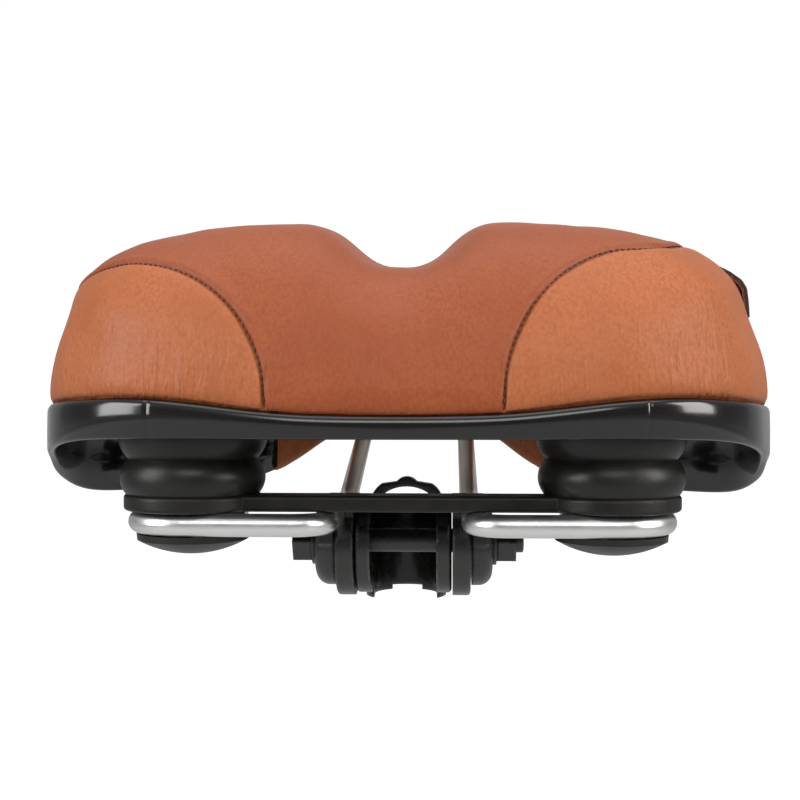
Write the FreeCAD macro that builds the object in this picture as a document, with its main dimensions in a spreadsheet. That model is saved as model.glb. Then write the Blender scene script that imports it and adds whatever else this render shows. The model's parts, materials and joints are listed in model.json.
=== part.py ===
import FreeCAD, Part
import math
import os
import re

import Sketcher
from FreeCAD import Placement, Vector

# A wide sprung bicycle saddle with its seat-post clamp, in millimetres.
# The origin is on the seat post's axis, level with the clamp bolt. +Y points to the nose,
# +X to the rider's right and +Z up. Right-hand sizes are given and the left mirrors them.

SIZES = {
    # seat-post band
    "post_radius": 11.1, "band_wall": 3.0, "band_top": 12.0, "band_bottom": -21.0,
    "ear_inner": 10.9, "ear_outer": 16.0, "ear_radius": 17.5, "ear_top": 13.4, "bolt_y": -17.0,
    "notch_half": 5.4, "notch_height": 1.6,
    # arched strap over the post's end
    "strap_half": 12.8, "strap_width": 6.0, "strap_front": 8.6, "strap_thick": 3.2, "strap_rise": 6.4,
    # rail jaws
    "cradle_inner": 16.3, "cradle_outer": 22.3, "cradle_radius": 18.4,
    "cap_inner": 22.7, "cap_outer": 29.6, "cap_radius": 15.0, "cap_jaw_outer": 28.2,
    "jaw_half": 16.0, "jaw_top": 14.8, "jaw_fit": 0.05,
    # clamp bolt
    "bolt_radius": 4.0, "bolt_room": 0.2, "bolt_flats": 13.0, "bolt_head": 6.5, "bolt_end": 40.2,
    "washer_radius": 8.2, "washer_thick": 1.4, "nut_gap": 0.05, "nut_height": 6.5,
    # rails
    "rail_radius": 3.5, "rail_x": 22.5, "rail_z": 10.0, "corner_bend": 10.0, "hook_tail": 14.0,
    "rise_start": 14.0, "rise_bend": 40.0, "rise_angle": 14.4, "nose_bar_y": 150.0,
    # springs
    "spring_x": 65.3, "spring_y": -49.0, "hook_radius": 16.5,
    "plate_bottom": 13.5, "plate_top": 18.5, "plate_disc": 21.4, "plate_back": -61.0,
    "plate_front": -48.0, "plate_hole": 4.4, "plate_round": 1.2,
    "rubber_top": 37.7, "rubber_waist_z": 29.4, "rubber_waist": 20.1, "rubber_foot": 20.8,
    "rubber_lip": 23.2, "rubber_lip_z": 36.2, "rubber_edge": 22.4, "lower_bulge": 8.0,
    "upper_bulge": 11.0, "rubber_hole": 3.4,
    # spring bolts
    "stud_radius": 3.0, "stud_flats": 10.0, "stud_head_bottom": 1.4, "stud_head_top": 4.9,
    "stud_end": 43.6, "disc_radius": 15.2, "disc_top": 6.2, "dome_radius": 17.5,
    "dome_shoulder": 17.3, "dome_shoulder_z": 4.2, "dome_bottom": -0.4, "dome_ceiling": 1.2,
    "dome_curve": 34.8, "dome_socket": 7.2, "barrel_radius": 4.8, "barrel_bottom": 38.3,
    "flange_radius": 10.0, "flange_top": 42.7, "thread_room": 0.05,
    # shell and cushion
    "pan_bottom": 38.0, "pan_top": 41.5, "nose_pan_rise": 12.0, "pan_slope_start": 55.0,
    "pan_slope_end": 120.0, "skin_thick": 2.4, "bumper_end": 50.0,
    # rail socket at the nose
    "socket_half": 10.5, "socket_length": 30.0, "socket_room": 0.05, "keeper_thick": 5.5,
    "screw_radius": 2.0, "screw_reach": 10.5, "screw_head": 3.8, "screw_head_thick": 2.2,
    # label in the right-hand seam
    "tag_length": 19.0, "tag_width": 9.0, "tag_thick": 0.9, "tag_x": 118.3, "tag_y": -12.0,
    "tag_z": 77.8, "tag_lean": 58.0,
}

# Cushion stations from tail to nose: y, half width, height of the top, depth of the groove.
STATIONS = [
    (-84.6, 30.0, 51.0, 0.3), (-82.5, 58.0, 63.0, 1.5), (-78.0, 80.0, 76.0, 4.0),
    (-70.0, 95.0, 88.5, 8.0), (-56.0, 107.0, 99.0, 11.5), (-34.0, 116.5, 105.5, 15.0),
    (-10.0, 123.5, 106.0, 13.5), (12.0, 121.0, 105.0, 12.0), (26.0, 109.0, 103.0, 10.5),
    (36.0, 86.0, 100.5, 9.0), (44.0, 66.0, 98.0, 7.5), (54.0, 51.0, 95.5, 6.0),
    (68.0, 42.0, 93.0, 4.5), (90.0, 37.5, 91.0, 3.0), (120.0, 35.5, 90.5, 1.5),
    (148.0, 33.0, 88.5, 0.5), (166.0, 25.5, 81.0, 0.0), (176.0, 15.0, 70.0, 0.0),
    (179.5, 6.0, 60.0, 0.0),
]
SHOULDER_Z = 46.0       # height at which the sides begin to round over
SIDE_POWER = 3.4        # squareness of the cross-section across the saddle
TOP_POWER = 3.6         # squareness of the cross-section upwards
WAIST = 0.034           # how much the sides draw in, as a share of the half width
WAIST_LEVEL, WAIST_SPREAD = 0.48, 0.22      # where between shoulder and top, and how far up and down
GROOVE_SPREAD = 14.0    # half width of the central groove
ARC_STEPS = (0, 12, 24, 36, 48, 60, 72, 81, 90)

# Lower edge of the walls as (y, z): high across the tail, low at the sides, high at the nose.
LOWER_EDGE = [
    (-95.0, 36.0), (-74.0, 36.0), (-58.0, 33.8), (-42.0, 31.2), (-25.0, 27.5), (-12.0, 22.5),
    (0.0, 18.5), (14.0, 14.6), (30.0, 13.6), (46.0, 17.4), (58.0, 25.0), (68.0, 29.8),
    (92.0, 31.5), (135.0, 33.5), (190.0, 38.0),
]
# Join of leather and plastic rim as (x, z), the same on both sides.
RIM_JOIN = [(0.0, 43.6), (36.0, 44.6), (72.0, 48.2), (100.0, 47.8), (135.0, 44.6)]
# Seam between the middle panel and each rear corner panel as (x, z).
PANEL_SEAM = [
    (35.0, 30.0), (36.0, 46.0), (38.5, 58.0), (42.0, 68.0), (48.0, 77.0), (56.0, 84.5),
    (68.0, 90.0), (84.0, 92.0), (100.0, 88.5), (114.0, 80.0), (135.0, 62.0),
]
FAR = 150.0             # beyond the saddle in every direction


doc = FreeCAD.newDocument("Saddle")
sheet = doc.addObject("Spreadsheet::Sheet", "Sizes")
for row, (alias, value) in enumerate(SIZES.items(), start=1):
    sheet.set(f"A{row}", alias)
    sheet.set(f"B{row}", str(value))
    sheet.setAlias(f"B{row}", alias)
doc.recompute()


def size(alias):
    """A driving dimension as the sheet holds it."""
    return float(sheet.get(alias))


def number(formula):
    """The value of a formula in the sheet's names."""
    return float(sheet.evalExpression(formula))


def bound(formula):
    """The same formula with each sheet name written out in full."""
    def full_name(match):
        word = match.group(0)
        return f"Sizes.{word}" if word in SIZES else word
    return re.sub(r"[a-z_]+", full_name, formula)


def new_body(label):
    part = doc.addObject("PartDesign::Body", label)
    part.Label = label
    return part


def new_sketch(part, role, offset="0"):
    """A sketch on one of the body's origin planes, moved along the plane's normal."""
    sketch = part.newObject("Sketcher::SketchObject", f"{part.Name}_sketch")
    plane = next(item for item in part.Origin.OriginFeatures if item.Role == role)
    sketch.AttachmentSupport = [(plane, "")]
    sketch.MapMode = "FlatFace"
    sketch.setExpression("AttachmentOffset.Base.z", bound(offset))
    return sketch


def constrain(sketch, kind, geometry, end, formula):
    value = number(formula)
    index = sketch.addConstraint(Sketcher.Constraint(kind, -1, 1, geometry, end, value))
    sketch.setExpression(f"Constraints[{index}]", bound(formula))


def arc_between(start, finish, radius):
    """The short arc from start to finish; a negative radius turns clockwise."""
    across = Vector(finish[0] - start[0], finish[1] - start[1], 0)
    height = math.sqrt(radius * radius - across.Length * across.Length / 4)
    side = Vector(-across.y, across.x, 0).normalize() * math.copysign(height, radius)
    centre = Vector(*start, 0) + across * 0.5 + side
    first, last = (start, finish) if radius > 0 else (finish, start)
    angles = [math.atan2(spot[1] - centre.y, spot[0] - centre.x) for spot in (first, last)]
    if angles[1] < angles[0]:
        angles[1] += 2 * math.pi
    return Part.ArcOfCircle(Part.Circle(centre, Vector(0, 0, 1), abs(radius)), *angles)


def trace(sketch, corners, arcs=None):
    """A closed outline. Corners and arc radii are formulas; arcs go by the corner they leave."""
    arcs = arcs or {}
    count = len(corners)
    spots = [(number(x), number(y)) for x, y in corners]
    ends = []
    for i, start in enumerate(spots):
        finish = spots[(i + 1) % count]
        if i in arcs:
            radius = number(arcs[i])
            sketch.addGeometry(arc_between(start, finish, radius))
            ends.append((1, 2) if radius > 0 else (2, 1))
        else:
            sketch.addGeometry(Part.LineSegment(Vector(*start, 0), Vector(*finish, 0)))
            ends.append((1, 2))
    for i in range(count):
        j = (i + 1) % count
        sketch.addConstraint(Sketcher.Constraint("Coincident", i, ends[i][1], j, ends[j][0]))
    for i, (x, y) in enumerate(corners):
        constrain(sketch, "DistanceX", i, ends[i][0], x)
        constrain(sketch, "DistanceY", i, ends[i][0], y)
    for i, radius in arcs.items():
        index = sketch.addConstraint(Sketcher.Constraint("Radius", i, abs(number(radius))))
        sketch.setExpression(f"Constraints[{index}]", f"abs({bound(radius)})")


def circle(sketch, x, y, radius):
    place = Vector(number(x), number(y), 0)
    index = sketch.addGeometry(Part.Circle(place, Vector(0, 0, 1), number(radius)))
    constrain(sketch, "DistanceX", index, 3, x)
    constrain(sketch, "DistanceY", index, 3, y)
    held = sketch.addConstraint(Sketcher.Constraint("Radius", index, number(radius)))
    sketch.setExpression(f"Constraints[{held}]", bound(radius))


def box(sketch, x_low, y_low, x_high, y_high):
    trace(sketch, [(x_low, y_low), (x_high, y_low), (x_high, y_high), (x_low, y_high)])


def hexagon(sketch, x, y, flats):
    """A nut's outline, a corner on either side."""
    reach = f"({flats}) / 2 / cos(30)"
    corners = []
    for i in range(6):
        corners.append((f"{x} + {reach} * cos({60 * i})", f"{y} + {reach} * sin({60 * i})"))
    trace(sketch, corners)


def pad(part, sketch, length, flipped=False, both_ways=False):
    feature = part.newObject("PartDesign::Pad", f"{part.Name}_pad")
    feature.Profile = sketch
    feature.setExpression("Length", bound(length))
    feature.Reversed = flipped
    feature.Midplane = both_ways
    doc.recompute()
    return feature


def pocket(part, sketch, length, flipped=False):
    """Cut against the sketch's normal, or along it when flipped, and check that it bites."""
    before = part.Shape.Volume
    feature = part.newObject("PartDesign::Pocket", f"{part.Name}_pocket")
    feature.Profile = sketch
    feature.setExpression("Length", bound(length))
    feature.Reversed = flipped
    doc.recompute()
    if part.Shape.Volume > before - 0.1:
        raise RuntimeError(f"{part.Label}: a pocket removes nothing")
    return feature


def spin(part, corners, arcs=None):
    """Revolve an outline of (radius, height) about the body's upright axis."""
    sketch = new_sketch(part, "XZ_Plane")
    trace(sketch, corners, arcs)
    feature = part.newObject("PartDesign::Revolution", f"{part.Name}_turned")
    feature.Profile = sketch
    feature.ReferenceAxis = (sketch, ["V_Axis"])
    feature.Angle = 360
    doc.recompute()
    return feature


def round_edges(part, wanted, radius):
    """Fillet every edge of the body's last feature that the test picks."""
    base = part.Tip
    names = [f"Edge{i}" for i, edge in enumerate(base.Shape.Edges, start=1) if wanted(edge)]
    feature = part.newObject("PartDesign::Fillet", f"{part.Name}_fillet")
    feature.Base = (base, names)
    feature.setExpression("Radius", bound(radius))
    doc.recompute()
    return feature


def trim_above(part, level):
    """Cut the body flat at a height."""
    sketch = new_sketch(part, "XY_Plane", f"{level} + 20")
    box(sketch, "-60", "-60", "60", "60")
    pocket(part, sketch, "20")


def place(part, x="0", y="0", z="0"):
    for axis, formula in zip("xyz", (x, y, z)):
        part.setExpression(f"Placement.Base.{axis}", bound(formula))


def plain_part(label, shape, placement=None):
    """A sub-part whose shape is computed from the sheet's values."""
    part = doc.addObject("Part::Feature", label)
    part.Label = label
    part.Shape = shape
    part.Placement = placement or Placement()
    return part


def is_round_edge(edge, radius):
    return isinstance(edge.Curve, Part.Circle) and abs(edge.Curve.Radius - radius) < 1e-6


# ---------------------------------------------------------------- seat-post clamp
def make_clamp_band():
    """A band round the post whose two round ears stand either side of the bolt."""
    part = new_body("clamp_band")
    ring = new_sketch(part, "XY_Plane", "band_bottom")
    circle(ring, "0", "0", "post_radius + band_wall")
    pad(part, ring, "band_top - band_bottom")
    ears = new_sketch(part, "YZ_Plane")
    circle(ears, "bolt_y", "0", "ear_radius")
    pad(part, ears, "2 * ear_outer", both_ways=True)
    ear_radius = size("ear_radius")
    round_edges(part, lambda edge: is_round_edge(edge, ear_radius), "1.4")
    trim_above(part, "ear_top")
    bore = new_sketch(part, "XY_Plane", "band_top + 10")
    circle(bore, "0", "0", "post_radius")
    pocket(part, bore, "band_top - band_bottom + 20")
    slot = new_sketch(part, "XY_Plane", "band_top + 10")
    box(slot, "-ear_inner", "bolt_y - ear_radius - 2", "ear_inner", "-2.2")
    pocket(part, slot, "band_top - band_bottom + 20")
    hole = new_sketch(part, "YZ_Plane", "ear_outer + 2")
    circle(hole, "bolt_y", "0", "bolt_radius + bolt_room")
    pocket(part, hole, "2 * ear_outer + 4")
    notch = new_sketch(part, "XZ_Plane", "-5")
    box(notch, "-notch_half", "band_bottom - 1", "notch_half", "band_bottom + notch_height")
    pocket(part, notch, "20")
    return part


def make_post_stop():
    """A wavy arched strap welded across the band's mouth, so that the post can't pass it."""
    part = new_body("post_stop")
    sketch = new_sketch(part, "XZ_Plane", "-strap_front")
    crown = "band_top + strap_rise"
    corners = [
        ("-strap_half", "band_top"), ("-strap_half + strap_thick", "band_top"),
        ("-strap_half + 5.4", "band_top + 2.6"), ("strap_half - 5.4", "band_top + 2.6"),
        ("strap_half - strap_thick", "band_top"), ("strap_half", "band_top"),
        ("strap_half - 3.8", f"{crown} - 0.8"), ("3.6", crown),
        ("-3.6", crown), ("-strap_half + 3.8", f"{crown} - 0.8"),
    ]
    trace(sketch, corners, {2: "-14", 5: "8", 7: "4.6", 9: "8"})
    pad(part, sketch, "strap_width")
    return part


def make_jaw(label, side, inner, outer, radius, jaw_outer):
    """A disc on the clamp bolt with a lug that holds half of one rail in a groove."""
    part = new_body(label)
    leftward = side < 0
    start = f"{side} * {inner}"
    disc = new_sketch(part, "YZ_Plane", start)
    circle(disc, "bolt_y", "0", radius)
    pad(part, disc, f"{outer} - {inner}", flipped=leftward)
    rim = size(radius)
    face = side * size(outer)

    def outer_rim(edge):
        return is_round_edge(edge, rim) and abs(edge.CenterOfMass.x - face) < 0.01

    round_edges(part, outer_rim, "4.6" if outer == "cap_outer" else "1.2")
    lug = new_sketch(part, "YZ_Plane", start)
    box(lug, "bolt_y - jaw_half", "0", "bolt_y + jaw_half", "jaw_top")
    pad(part, lug, f"{jaw_outer} - {inner}", flipped=leftward)
    trim_above(part, "jaw_top")
    top = size("jaw_top")
    round_edges(
        part,
        lambda edge: abs(edge.CenterOfMass.z - top) < 0.01 and edge.Length > 25
        and abs(edge.CenterOfMass.x - side * size(jaw_outer)) < 0.01,
        "1.6",
    )
    groove = new_sketch(part, "XZ_Plane", "-bolt_y + cradle_radius + 1")
    circle(groove, f"{side} * rail_x", "rail_z", "rail_radius + jaw_fit")
    pocket(part, groove, "2 * cradle_radius + 2")
    hole = new_sketch(part, "YZ_Plane", f"{side} * {outer} + {side}")
    circle(hole, "bolt_y", "0", "bolt_radius + bolt_room")
    pocket(part, hole, f"{outer} - {inner} + 2", flipped=leftward)
    return part


def make_clamp_bolt():
    """A hexagon bolt through both jaws and both ears, head on the left."""
    part = new_body("clamp_bolt")
    under_head = "-(cap_outer + washer_thick)"
    head = new_sketch(part, "YZ_Plane", under_head)
    hexagon(head, "bolt_y", "0", "bolt_flats")
    pad(part, head, "bolt_head", flipped=True)
    shank = new_sketch(part, "YZ_Plane", under_head)
    circle(shank, "bolt_y", "0", "bolt_radius")
    pad(part, shank, "bolt_end + cap_outer + washer_thick")
    tip = size("bolt_end")
    round_edges(part, lambda edge: abs(edge.BoundBox.XMin - tip) < 0.01, "0.7")
    return part


def make_clamp_washer(label, side):
    part = new_body(label)
    ring = new_sketch(part, "YZ_Plane", f"{side} * cap_outer")
    circle(ring, "bolt_y", "0", "washer_radius")
    circle(ring, "bolt_y", "0", "bolt_radius + bolt_room")
    pad(part, ring, "washer_thick", flipped=side < 0)
    return part


def make_clamp_nut():
    part = new_body("clamp_nut")
    outline = new_sketch(part, "YZ_Plane", "cap_outer + washer_thick + nut_gap")
    hexagon(outline, "bolt_y", "0", "bolt_flats")
    pad(part, outline, "nut_height")
    bore = new_sketch(part, "YZ_Plane", "bolt_end + 2")
    circle(bore, "bolt_y", "0", "bolt_radius + nut_gap")
    pocket(part, bore, "bolt_end - cap_outer + 2")
    return part


# ---------------------------------------------------------------- rails and springs
def nose_bar_height():
    """Height of the rail's cross bar at the nose, at the end of the climb."""
    angle = math.radians(size("rise_angle"))
    climb_y = size("rise_start") + size("rise_bend") * math.sin(angle)
    climb_z = size("rail_z") + size("rise_bend") * (1 - math.cos(angle))
    return climb_z + (size("nose_bar_y") - climb_y) * math.tan(angle)


def rail_half(side):
    """One rail's centre line from the end of its hook to the start of the nose bar."""
    angle = math.radians(size("rise_angle"))
    hook_x, hook_y, hook = size("spring_x"), size("spring_y"), size("hook_radius")
    rail_x, level, bend = size("rail_x"), size("rail_z"), size("corner_bend")
    climb = size("rise_bend")
    nose = Vector(0, size("nose_bar_y"), nose_bar_height())
    uphill = Vector(0, math.cos(angle), math.sin(angle))
    short = bend * (1 - math.sqrt(0.5))

    def at(x, y, z):
        return Vector(side * x, y, z)

    start = at(hook_x - size("hook_tail"), hook_y + hook, level)
    hook_front = at(hook_x, hook_y + hook, level)
    hook_side = at(hook_x + hook, hook_y, level)
    hook_back = at(hook_x, hook_y - hook, level)
    corner_in = at(rail_x + bend, hook_y - hook, level)
    corner_mid = at(rail_x + short, hook_y - hook + short, level)
    corner_out = at(rail_x, hook_y - hook + bend, level)
    foot = at(rail_x, size("rise_start"), level)
    foot_mid = at(rail_x, foot.y + climb * math.sin(angle / 2), level + climb * (1 - math.cos(angle / 2)))
    foot_out = at(rail_x, foot.y + climb * math.sin(angle), level + climb * (1 - math.cos(angle)))
    bar_end = nose + at(rail_x - bend, 0, 0)
    nose_in = nose + at(rail_x, 0, 0) - uphill * bend
    nose_mid = nose + at(rail_x - short, 0, 0) - uphill * short
    edges = [
        Part.LineSegment(start, hook_front),
        Part.Arc(hook_front, hook_side, hook_back),
        Part.LineSegment(hook_back, corner_in),
        Part.Arc(corner_in, corner_mid, corner_out),
        Part.LineSegment(corner_out, foot),
        Part.Arc(foot, foot_mid, foot_out),
        Part.LineSegment(foot_out, nose_in),
        Part.Arc(nose_in, nose_mid, bar_end),
    ]
    return [edge.toShape() for edge in edges], start, bar_end


def make_rail_frame():
    """One steel rod: a hook, a rail, the nose bar, the other rail and its hook."""
    right, start, right_bar = rail_half(1)
    left, _, left_bar = rail_half(-1)
    middle = Part.LineSegment(right_bar, left_bar).toShape()
    path = Part.Wire(right + [middle] + left[::-1])
    section = Part.Wire(Part.makeCircle(size("rail_radius"), start, Vector(1, 0, 0)))
    rod = path.makePipeShell([section], True, True)
    ideal = math.pi * size("rail_radius") ** 2 * path.Length
    if abs(rod.Volume - ideal) > 0.01 * ideal:
        raise RuntimeError("the rod's volume isn't its section times its length")
    return plain_part("rail_frame", rod)


def make_bridge_plate():
    """A strip with a round foot under each spring."""
    part = new_body("bridge_plate")
    strip = new_sketch(part, "XY_Plane", "plate_bottom")
    box(strip, "-spring_x", "plate_back", "spring_x", "plate_front")
    pad(part, strip, "plate_top - plate_bottom")
    for side in (-1, 1):
        foot = new_sketch(part, "XY_Plane", "plate_bottom")
        circle(foot, f"{side} * spring_x", "spring_y", "plate_disc")
        pad(part, foot, "plate_top - plate_bottom")
    levels = (size("plate_bottom"), size("plate_top"))

    def on_a_face(edge):
        return edge.BoundBox.ZLength < 1e-6 and min(abs(edge.BoundBox.ZMin - z) for z in levels) < 1e-6

    round_edges(part, on_a_face, "plate_round")
    holes = new_sketch(part, "XY_Plane", "plate_top + 1")
    for side in (-1, 1):
        circle(holes, f"{side} * spring_x", "spring_y", "plate_hole")
    pocket(part, holes, "plate_top - plate_bottom + 2")
    return part


def make_elastomer(label, side):
    """A rubber spring with two bulges and a waist."""
    part = new_body(label)
    corners = [
        ("rubber_hole", "plate_top"), ("rubber_foot", "plate_top"),
        ("rubber_waist", "rubber_waist_z"), ("rubber_lip", "rubber_lip_z"),
        ("rubber_edge", "rubber_top"), ("rubber_hole", "rubber_top"),
    ]
    spin(part, corners, {1: "lower_bulge", 2: "upper_bulge"})
    place(part, f"{side} * spring_x", "spring_y")
    return part


def make_dome_cap(label, side):
    """A shallow cap over the spring bolt's head, below the hook."""
    part = new_body(label)
    corners = [
        ("0", "dome_bottom"), ("dome_shoulder", "dome_shoulder_z"), ("dome_radius", "disc_top"),
        ("disc_radius", "disc_top"), ("disc_radius", "stud_head_top"),
        ("dome_socket", "stud_head_top"), ("dome_socket", "dome_ceiling"), ("0", "dome_ceiling"),
    ]
    spin(part, corners, {0: "dome_curve"})
    place(part, f"{side} * spring_x", "spring_y")
    return part


def make_spring_washer(label, side):
    part = new_body(label)
    ring = new_sketch(part, "XY_Plane", "stud_head_top")
    circle(ring, "0", "0", "disc_radius")
    circle(ring, "0", "0", "stud_radius + bolt_room")
    pad(part, ring, "disc_top - stud_head_top")
    place(part, f"{side} * spring_x", "spring_y")
    return part


def make_spring_bolt(label, side):
    part = new_body(label)
    head = new_sketch(part, "XY_Plane", "stud_head_bottom")
    hexagon(head, "0", "0", "stud_flats")
    pad(part, head, "stud_head_top - stud_head_bottom")
    shank = new_sketch(part, "XY_Plane", "stud_head_top")
    circle(shank, "0", "0", "stud_radius")
    pad(part, shank, "stud_end - stud_head_top")
    place(part, f"{side} * spring_x", "spring_y")
    return part


def make_insert(label, side):
    """A flanged nut that sits in the pan and takes the spring bolt."""
    part = new_body(label)
    corners = [
        ("stud_radius + thread_room", "barrel_bottom"), ("barrel_radius", "barrel_bottom"),
        ("barrel_radius", "pan_top"), ("flange_radius", "pan_top"),
        ("flange_radius", "flange_top"), ("stud_radius + thread_room", "flange_top"),
    ]
    spin(part, corners)
    place(part, f"{side} * spring_x", "spring_y")
    return part


# ---------------------------------------------------------------- shell, foam and cover
def cross_section(station, inset, floor, lift):
    """A closed outline across the saddle: flat below, two humps and a groove above."""
    y, half, top, groove = station
    half -= inset
    top += lift - inset
    right = []
    for degrees in ARC_STEPS:
        turn = math.radians(degrees)
        level = math.sin(turn) ** (2 / TOP_POWER)
        waist = 1 - WAIST * math.exp(-(((level - WAIST_LEVEL) / WAIST_SPREAD) ** 2))
        x = half * waist * abs(math.cos(turn)) ** (2 / SIDE_POWER)
        dip = groove * math.exp(-((x / GROOVE_SPREAD) ** 2))
        right.append((x, SHOULDER_Z + (top - dip - SHOULDER_Z) * level))
    points = [Vector(-x, y, z) for x, z in right[:-1]]
    points += [Vector(x, y, z) for x, z in reversed(right)]
    over = Part.BSplineCurve()
    over.interpolate(points)
    left_foot, right_foot = Vector(-half, y, floor), Vector(half, y, floor)
    return Part.Wire([
        Part.LineSegment(left_foot, points[0]).toShape(), over.toShape(),
        Part.LineSegment(points[-1], right_foot).toShape(),
        Part.LineSegment(right_foot, left_foot).toShape(),
    ])


def cushion_form(inset, floor, lift=0):
    """The saddle's outer form, or one set in from it by a skin's thickness, or raised."""
    first, last = STATIONS[0], STATIONS[-1]
    stations = [(first[0] + inset, *first[1:])]
    stations += [s for s in STATIONS[1:-1] if first[0] + inset + 0.5 < s[0] < last[0] - inset - 0.5]
    stations += [(last[0] - inset, *last[1:])]
    sections = [cross_section(station, inset, floor, lift) for station in stations]
    return Part.makeLoft(sections, True, False)


def below_curve(points, along):
    """Everything below a smooth curve of (y, z) or (x, z) points, extruded across the saddle."""
    if along == "X":
        spots = [Vector(-FAR, y, z) for y, z in points]
    else:
        spots = [Vector(x, -FAR, z) for x, z in points]
    curve = Part.BSplineCurve()
    curve.interpolate(spots)
    low_first = Vector(spots[0].x, spots[0].y, -FAR)
    low_last = Vector(spots[-1].x, spots[-1].y, -FAR)
    outline = Part.Wire([
        curve.toShape(), Part.LineSegment(spots[-1], low_last).toShape(),
        Part.LineSegment(low_last, low_first).toShape(),
        Part.LineSegment(low_first, spots[0]).toShape(),
    ])
    reach = Vector(2 * FAR, 0, 0) if along == "X" else Vector(0, 3 * FAR, 0)
    return Part.Face(outline).extrude(reach)


def under_step(level):
    """Everything below the pan's step: level under the springs, then rising to the nose."""
    rise = size("nose_pan_rise")
    start, end = size("pan_slope_start"), size("pan_slope_end")
    profile = [
        (-FAR, level), (start, level), (end, level + rise), (2 * FAR, level + rise),
        (2 * FAR, -FAR), (-FAR, -FAR), (-FAR, level),
    ]
    outline = Part.makePolygon([Vector(-FAR, y, z) for y, z in profile])
    return Part.Face(outline).extrude(Vector(2 * FAR, 0, 0))


def half_space(x_low, x_high, y_low, y_high, z_low, z_high):
    return Part.makeBox(x_high - x_low, y_high - y_low, z_high - z_low, Vector(x_low, y_low, z_low))


def upright(radius, x, y, z_low, z_high):
    return Part.makeCylinder(radius, z_high - z_low, Vector(x, y, z_low))


def make_seat():
    """Shell, foam and the three cover panels, all cut from the same nested forms."""
    outer = cushion_form(0, 8)
    inner = cushion_form(size("skin_thick"), 7)
    hollow = cushion_form(2 * size("skin_thick"), 6, lift=20)
    below_walls = below_curve(LOWER_EDGE, "X")
    skin = outer.cut(inner).cut(below_walls)
    mirrored = [(-x, z) for x, z in reversed(RIM_JOIN[1:])]
    under_join = below_curve(mirrored + RIM_JOIN, "Y")
    behind = half_space(-FAR, FAR, -FAR, size("bumper_end"), -FAR, FAR)
    bumper_zone = under_join.common(behind)
    bumper = skin.common(bumper_zone)
    leather = skin.cut(bumper_zone)
    under_pan = under_step(size("pan_top"))
    pan = inner.common(under_pan).cut(under_step(size("pan_bottom")))
    ahead = half_space(-FAR, FAR, size("bumper_end") - 2, 2 * FAR, -FAR, FAR)
    nose_wall = inner.cut(hollow).cut(below_walls).common(under_pan).common(ahead)
    spring_x, spring_y = size("spring_x"), size("spring_y")
    shell = bumper.fuse([pan, nose_wall])
    foam = inner.cut(under_pan)
    for side in (-1, 1):
        x = side * spring_x
        shell = shell.cut(upright(size("barrel_radius"), x, spring_y, 30, 50))
        foam = foam.cut(upright(size("flange_radius"), x, spring_y, 30, size("flange_top")))
        foam = foam.cut(upright(size("stud_radius") + 0.5, x, spring_y, 30, size("stud_end") + 1))
    plain_part("base_shell", shell.removeSplitter())
    plain_part("foam_pad", foam)
    corner_zone = below_curve(PANEL_SEAM, "Y")
    right_panel = leather.common(corner_zone)
    left_panel = leather.common(corner_zone.mirror(Vector(0, 0, 0), Vector(1, 0, 0)))
    middle = leather.cut(right_panel).cut(left_panel)
    plain_part("cover_center", middle)
    plain_part("cover_right", right_panel)
    plain_part("cover_left", left_panel)


def make_side_tag():
    """A blank folded label sewn into the right-hand seam."""
    part = doc.addObject("Part::Box", "side_tag")
    part.Label = "side_tag"
    part.setExpression("Length", bound("tag_thick"))
    part.setExpression("Width", bound("tag_width"))
    part.setExpression("Height", bound("tag_length"))
    place(part, "tag_x", "tag_y", "tag_z")
    part.setExpression("Placement.Rotation.Axis.y", "1")
    part.setExpression("Placement.Rotation.Axis.z", "0")
    part.setExpression("Placement.Rotation.Angle", bound("-(90 - tag_lean)"))
    return part


# ---------------------------------------------------------------- rail socket at the nose
def make_nose_socket():
    """A block under the nose that holds the upper half of the rail's cross bar."""
    part = new_body("nose_socket")
    z_bar = nose_bar_height()
    top = size("pan_bottom") + size("nose_pan_rise")
    half = "socket_length / 2"
    block = new_sketch(part, "XY_Plane", f"{z_bar}")
    box(block, "-socket_half", f"nose_bar_y - {half}", "socket_half", f"nose_bar_y + {half}")
    pad(part, block, f"{top - z_bar}")
    bore = new_sketch(part, "YZ_Plane", "socket_half + 1")
    circle(bore, "nose_bar_y", f"{z_bar}", "rail_radius + socket_room")
    pocket(part, bore, "2 * socket_half + 2")
    drill_screw_holes(part, top + 1, top - z_bar + 2)
    return part


def drill_screw_holes(part, start, depth):
    for end in (-1, 1):
        hole = new_sketch(part, "XY_Plane", f"{start}")
        circle(hole, "0", f"nose_bar_y + {end} * screw_reach", "screw_radius + bolt_room")
        pocket(part, hole, f"{depth}")


def make_nose_keeper():
    """The plate that closes the socket under the rail's cross bar."""
    part = new_body("nose_keeper")
    z_bar = nose_bar_height()
    half = "socket_length / 2"
    plate = new_sketch(part, "XY_Plane", f"{z_bar}")
    box(plate, "-socket_half", f"nose_bar_y - {half}", "socket_half", f"nose_bar_y + {half}")
    pad(part, plate, "keeper_thick", flipped=True)
    bore = new_sketch(part, "YZ_Plane", "socket_half + 1")
    circle(bore, "nose_bar_y", f"{z_bar}", "rail_radius + socket_room")
    pocket(part, bore, "2 * socket_half + 2")
    drill_screw_holes(part, z_bar + 1, size("keeper_thick") + 2)
    return part


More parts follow.
